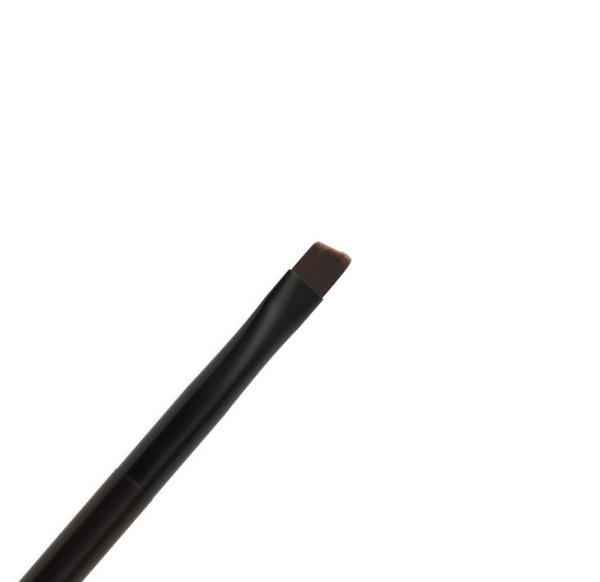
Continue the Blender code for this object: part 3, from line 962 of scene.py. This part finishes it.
def bristle_template(sizes):
    """One bristle along X from -1 to 1, thinner at both ends, with its centre on the axis."""
    radius = sizes.bristle_diameter / 2
    bristle = add_cylinder("bristle", -BRISTLE_MIDDLE, BRISTLE_MIDDLE, radius, sides=BRISTLE_SIDES)
    edit(bristle)
    for side in (-1, 1):
        pick(bristle, "FACE", lambda face: face.normal.x * side > CAP_NORMAL)
        rings = [(side * x, radius * share) for x, share in BRISTLE_RINGS]
        turn_down(side * BRISTLE_MIDDLE, radius, rings)
    leave()
    bristle.data.transform(Matrix.Translation(-AXIS))
    return bristle


def spoolie_radius(sizes, x):
    """Reach of the spiral bristles: a slow taper with rounded ends."""
    start, end = BRISTLE_BOX[0].x, BRISTLE_BOX[1].x
    radius = blend(sizes.rear_diameter, sizes.tip_diameter, (x - start) / (end - start)) / 2
    missing = max(1 - min(x - start, end - x) / SPOOLIE_END_ROUNDING, 0)
    return radius * blend(SPOOLIE_END_SHARE, 1, math.sqrt(max(1 - missing * missing, 0)))


def make_spoolie_bristles(sizes, colours):
    """Straight bristles caught between the legs of the wire, so that they form a double spiral."""
    chance = random.Random(BRISTLE_SEED)
    template = bristle_template(sizes)
    rest = points_of(template.data)
    start = BRISTLE_BOX[0].x + sizes.bristle_diameter
    end = BRISTLE_BOX[1].x - sizes.bristle_diameter
    places = []
    for number in range(sizes.bristle_count):
        x = blend(start, end, (number + chance.random()) / sizes.bristle_count)
        reach = spoolie_radius(sizes, x) * (1 - BRISTLE_REACH_SCATTER * chance.random())
        turn = twist_angle(sizes, x) + math.pi / 2 + chance.gauss(0, 1) * BRISTLE_FAN
        radial = np.array(outwards(turn))
        sideways = np.array(outwards(turn + math.pi / 2))
        lean = chance.uniform(-1, 1) * BRISTLE_LEAN
        along = rest[:, 0] * reach
        points = np.outer(along, radial) + np.outer(rest[:, 1], sideways)
        points[:, 0] += x + rest[:, 2] + lean * np.abs(along)
        points[:, 2] += AXIS.z
        places.append((points, {"tone": chance.random()}))
    bristles = copy_each(template, "spiral_bristles", places)
    close_up(bristles)
    hand_over(bristles, nylon_filament(colours), "spoolie_bristles")


def dress_inner_pieces(sizes, colours):
    """The glue, the resin and the plug keep their construction shapes."""
    resin = cured_resin(colours)
    finishes = dict.fromkeys(("brush_glue_ring", "spoolie_glue_ring", "brush_root_plug"), resin)
    finishes["spoolie_wire_plug"] = moulded_nylon(colours)
    for name, material in finishes.items():
        dress(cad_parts[name], material)


# Studio

# The photo's frame, and where it shows the middle of the ferrule's mouth.
PHOTO_WIDTH = 600
PHOTO_HEIGHT = 582
MOUTH_PIXEL = (306.1, 284.6)
PIXELS_PER_METRE = 6.88 / MM
SLOPE_IN_PHOTO = math.radians(49.3)
CAMERA_ELEVATION = math.radians(65)
CAMERA_LEAN = math.radians(7)
CAMERA_DISTANCE = 1.0

# The paper's own glow, and its share of the light on it.
BACKLIGHT = 0.86
BACKLIT_PAPER_SHARE = 0.2
PAPER_SIZE = 8.0

# The dome. Turns go from overhead towards +Y, leans from overhead towards the tip.
# Its lights fade between two turns. Each value is for a low and a high lean.
DOME_RADIUS = 1.6
DOME_SEGMENTS = 96
LOW_LEAN, HIGH_LEAN, BRIGHTEST_LEAN = np.radians((9, 19, 27))
CLOTH_GLOW = (0.0, 0.24)
FILL = (0.0, 0.25)
BOX_START_FADE = np.radians(((-13, 4), (-58, -16)))
BOX_END_FADE = np.radians(((1, 39), (-14, 30)))
BOX_BRIGHTNESS = (0.5, 1.8)
BOX_TONE = linear("FFFEF9")
WALL_FADE = np.radians(((26, 72), (36, 102)))
WALL_TONE = linear("D0CBC5")

# The card hides the paper from the gloss and paints the shade on the paper that the
# gloss mirrors. Towards -Y it fades to black between two places along Y.
PAINTED_SHADE_TONE = linear("D7D0C8")
CARD_SIZE = 3.0
CARD_HEIGHT = 0.02 * MM
CARD_FADE = (-60 * MM, -20 * MM)

# Lamps: direction from the brush, distance, size and power.
KEY_LAMP = ((-0.6, -0.9, 0.75), 1.2, 0.7, 8.7)
TOP_LAMP = ((0.3, -0.1, 1.0), 1.3, 0.9, 9.0)
WORLD_LIGHT = 0.35


def make_camera():
    """A long lens above the brush, rolled so that the angled end points up and right."""
    away = Vector((math.tan(CAMERA_LEAN), -math.cos(CAMERA_ELEVATION), math.sin(CAMERA_ELEVATION)))
    back = away.normalized()
    towards_tip = Vector((-1, 0, 0))
    along = (towards_tip - back * towards_tip.dot(back)).normalized()
    beside = back.cross(along)
    right = along * math.cos(SLOPE_IN_PHOTO) - beside * math.sin(SLOPE_IN_PHOTO)
    up = along * math.sin(SLOPE_IN_PHOTO) + beside * math.cos(SLOPE_IN_PHOTO)
    data = bpy.data.cameras.new("long_lens")
    data.lens = data.sensor_width * CAMERA_DISTANCE * PIXELS_PER_METRE / PHOTO_WIDTH
    camera = add_object("camera", data)
    mouth = AXIS + Vector((MOUTH_X, 0, 0))
    to_right = (MOUTH_PIXEL[0] - PHOTO_WIDTH / 2) / PIXELS_PER_METRE
    to_top = (PHOTO_HEIGHT / 2 - MOUTH_PIXEL[1]) / PIXELS_PER_METRE
    centre = mouth - right * to_right - up * to_top
    turn = Matrix((right, up, back)).transposed().to_4x4()
    camera.matrix_world = Matrix.Translation(centre + back * CAMERA_DISTANCE) @ turn
    bpy.context.scene.camera = camera


def dome_material():
    """Black cloth with a long soft box overhead and a pale wall on the +Y side.

    The box widens and grows brighter towards the brush's tip.
    """
    material = empty_material("black_cloth_with_soft_box")
    place = place_of(material)
    turn = add_node(material, "Math", {0: place["Y"], 1: place["Z"]}, operation="ARCTAN2")
    sine = add_node(material, "Math", {0: place["X"], 1: -DOME_RADIUS}, operation="DIVIDE")
    lean = add_node(material, "Math", {0: sine}, operation="ARCSINE")

    def over_lean(values, end=HIGH_LEAN):
        """A value that changes from a low lean to a high one."""
        return add_node(material, "MapRange", {
            "Value": lean, "From Min": LOW_LEAN, "From Max": end,
            "To Min": values[0], "To Max": values[1],
        })

    def faded(low_fade, high_fade, before, after):
        """A value that fades into another between two turns."""
        start, end = (over_lean(pair) for pair in zip(low_fade, high_fade))
        return add_node(material, "MapRange", {
            "Value": turn, "From Min": start, "From Max": end, "To Min": before, "To Max": after,
        }, interpolation_type="SMOOTHSTEP")

    box = faded(*BOX_START_FADE, over_lean(FILL), over_lean(BOX_BRIGHTNESS, BRIGHTEST_LEAN))
    box_end = faded(*BOX_END_FADE, 1, 0)
    box_glow = add_node(
        material, "Math", {0: box, 1: box_end, 2: over_lean(CLOTH_GLOW)}, operation="MULTIPLY_ADD",
    )
    lights = [
        add_node(material, "Emission", {"Color": shade(tone), "Strength": glow})
        for tone, glow in ((BOX_TONE, box_glow), (WALL_TONE, faded(*WALL_FADE, 0, 1)))
    ]
    both = add_node(material, "AddShader", dict(enumerate(lights)))
    add_node(material, "OutputMaterial", {"Surface": both})
    return material


def shade_card_material():
    """A grey sheet beside the brush that paints the shade on the paper in the gloss, fading to
    black further off on the -Y side.
    """
    material = empty_material("painted_shade_card")
    tooth = grain(material, 0.5, 0.5, 0.5)
    tone = mottled(material, tooth, PAINTED_SHADE_TONE, 0.98, 1.02)
    bare = add_node(material, "MapRange", {
        "Value": place_of(material)["Y"], "From Min": CARD_FADE[0], "From Max": CARD_FADE[1],
    }, interpolation_type="SMOOTHSTEP")
    glow = add_node(material, "Emission", {"Color": tone, "Strength": bare})
    add_node(material, "OutputMaterial", {"Surface": glow})
    return material


def put_on_stage(piece, material, only_mirrored):
    """Gives a stage piece its material. One that is only mirrored shows in gloss alone."""
    dress(piece, material)
    if only_mirrored:
        piece.visible_camera = False
        piece.visible_diffuse = False
        piece.visible_shadow = False
        piece.visible_transmission = False


def add_sheet(name, size, height, material, only_mirrored=False):
    """A level square sheet under the brush."""
    sheet = add_primitive(
        name, bpy.ops.mesh.primitive_plane_add, size=size, location=(0, 0, height),
    )
    put_on_stage(sheet, material, only_mirrored)


def make_dome():
    """Half a sphere over the brush, whose gloss mirrors it."""
    dome = add_primitive(
        "reflection_dome", bpy.ops.mesh.primitive_uv_sphere_add,
        segments=DOME_SEGMENTS, ring_count=DOME_SEGMENTS // 2, radius=DOME_RADIUS,
    )
    edit(dome)
    pick(dome, "FACE", lambda face: face.calc_center_median().z < 0)
    bpy.ops.mesh.delete(type="FACE")
    leave()
    put_on_stage(dome, dome_material(), only_mirrored=True)


def add_lamp(name, direction, distance, size, power):
    """A square soft box that faces the brush and lights it, but isn't mirrored in it."""
    data = bpy.data.lights.new(name, "AREA")
    data.size = size
    data.energy = power
    lamp = add_object(name, data)
    aim = Vector(direction).normalized()
    lamp.location = AXIS + aim * distance
    lamp.rotation_euler = aim.to_track_quat("Z", "Y").to_euler()
    lamp.visible_camera = False
    lamp.visible_glossy = False


def make_world():
    """White behind everything that looks at it, and a dim even light for matt surfaces."""
    world = bpy.data.worlds.new("white_studio")
    world.use_nodes = True
    world.node_tree.nodes.clear()
    seen = lit_backdrop_share(world)
    strength = add_node(world, "MapRange", {"Value": seen, "To Min": WORLD_LIGHT})
    light = add_node(world, "Background", {"Color": (1, 1, 1, 1), "Strength": strength})
    add_node(world, "OutputWorld", {"Surface": light})
    bpy.context.scene.world = world


def make_stage(sizes, colours):
    """Paper floor, dome, card, lamps, world and camera."""
    floor_z = AXIS.z - sizes.handle_diameter / 2
    card_z = floor_z + CARD_HEIGHT
    add_sheet("paper_floor", PAPER_SIZE, floor_z, studio_paper(colours))
    make_dome()
    # Painted shade: a sheet seen only in gloss that darkens the paper's reflection.
    add_sheet("shade_card", CARD_SIZE, card_z, shade_card_material(), only_mirrored=True)
    add_lamp("key_lamp", *KEY_LAMP)
    add_lamp("top_lamp", *TOP_LAMP)
    make_world()
    make_camera()
    bpy.context.scene.view_settings.view_transform = "Standard"


# Operators, panel and registration

class Undoable:
    """Lets the user undo an operator."""

    bl_options = {"REGISTER", "UNDO"}


def run(make, context):
    """Makes a piece from the scene's sizes and colours."""
    make(context.scene.brush_sizes, context.scene.brush_colours)
    return {"FINISHED"}


class BRUSH_OT_handle(Undoable, bpy.types.Operator):
    """Add the lacquered wooden handle with its two tenons"""

    bl_idname = "brush.handle"
    bl_label = "Handle"

    def execute(self, context):
        return run(make_handle, context)


class BRUSH_OT_brush_ferrule(Undoable, bpy.types.Operator):
    """Add the ferrule that is swaged flat for the angled brush"""

    bl_idname = "brush.brush_ferrule"
    bl_label = "Brush Ferrule"

    def execute(self, context):
        return run(make_brush_ferrule, context)


class BRUSH_OT_tuft(Undoable, bpy.types.Operator):
    """Add the slanted flat tuft of tapered filaments"""

    bl_idname = "brush.tuft"
    bl_label = "Angled Tuft"

    def execute(self, context):
        return run(make_tuft, context)


class BRUSH_OT_spoolie_ferrule(Undoable, bpy.types.Operator):
    """Add the ferrule with the cone for the spiral brush"""

    bl_idname = "brush.spoolie_ferrule"
    bl_label = "Spiral Brush Ferrule"

    def execute(self, context):
        return run(make_spoolie_ferrule, context)


class BRUSH_OT_wire(Undoable, bpy.types.Operator):
    """Add the twisted hairpin of wire"""

    bl_idname = "brush.wire"
    bl_label = "Twisted Wire"

    def execute(self, context):
        return run(make_wire, context)


class BRUSH_OT_bristles(Undoable, bpy.types.Operator):
    """Add the double spiral of bristles"""

    bl_idname = "brush.bristles"
    bl_label = "Spiral Bristles"

    def execute(self, context):
        return run(make_spoolie_bristles, context)


class BRUSH_OT_inner_pieces(Undoable, bpy.types.Operator):
    """Give the glue, the resin and the plug inside the ferrules their finishes"""

    bl_idname = "brush.inner_pieces"
    bl_label = "Inner Pieces"

    def execute(self, context):
        return run(dress_inner_pieces, context)


class BRUSH_OT_stage(Undoable, bpy.types.Operator):
    """Add the paper, what the gloss mirrors, the lamps, the white world and the camera"""

    bl_idname = "brush.stage"
    bl_label = "Studio"

    def execute(self, context):
        return run(make_stage, context)


OPERATORS = (
    BRUSH_OT_handle,
    BRUSH_OT_brush_ferrule,
    BRUSH_OT_tuft,
    BRUSH_OT_spoolie_ferrule,
    BRUSH_OT_wire,
    BRUSH_OT_bristles,
    BRUSH_OT_inner_pieces,
    BRUSH_OT_stage,
)


class BRUSH_PT_panel(bpy.types.Panel):
    """Lists the pieces, their sizes and their colours"""

    bl_idname = "BRUSH_PT_panel"
    bl_label = "Eyebrow Brush"
    bl_space_type = "VIEW_3D"
    bl_region_type = "UI"
    bl_category = "Eyebrow Brush"

    def draw(self, context):
        for operator in OPERATORS:
            self.layout.operator(operator.bl_idname)
        for group in (context.scene.brush_sizes, context.scene.brush_colours):
            box = self.layout.box()
            for name in group.__annotations__:
                box.prop(group, name)


CLASSES = (BrushSizes, BrushColours, *OPERATORS, BRUSH_PT_panel)


def register():
    """Registers the classes, and keeps the sizes and colours with the scene."""
    for each in CLASSES:
        bpy.utils.register_class(each)
    bpy.types.Scene.brush_sizes = bpy.props.PointerProperty(type=BrushSizes)
    bpy.types.Scene.brush_colours = bpy.props.PointerProperty(type=BrushColours)


def unregister():
    """Takes back what register did."""
    del bpy.types.Scene.brush_colours
    del bpy.types.Scene.brush_sizes
    for each in reversed(CLASSES):
        bpy.utils.unregister_class(each)


def main():
    """Adds every piece and the studio through the operators."""
    register()
    bpy.ops.brush.handle()
    bpy.ops.brush.brush_ferrule()
    bpy.ops.brush.tuft()
    bpy.ops.brush.spoolie_ferrule()
    bpy.ops.brush.wire()
    bpy.ops.brush.bristles()
    bpy.ops.brush.inner_pieces()
    bpy.ops.brush.stage()


if __name__ == "__main__":
    main()
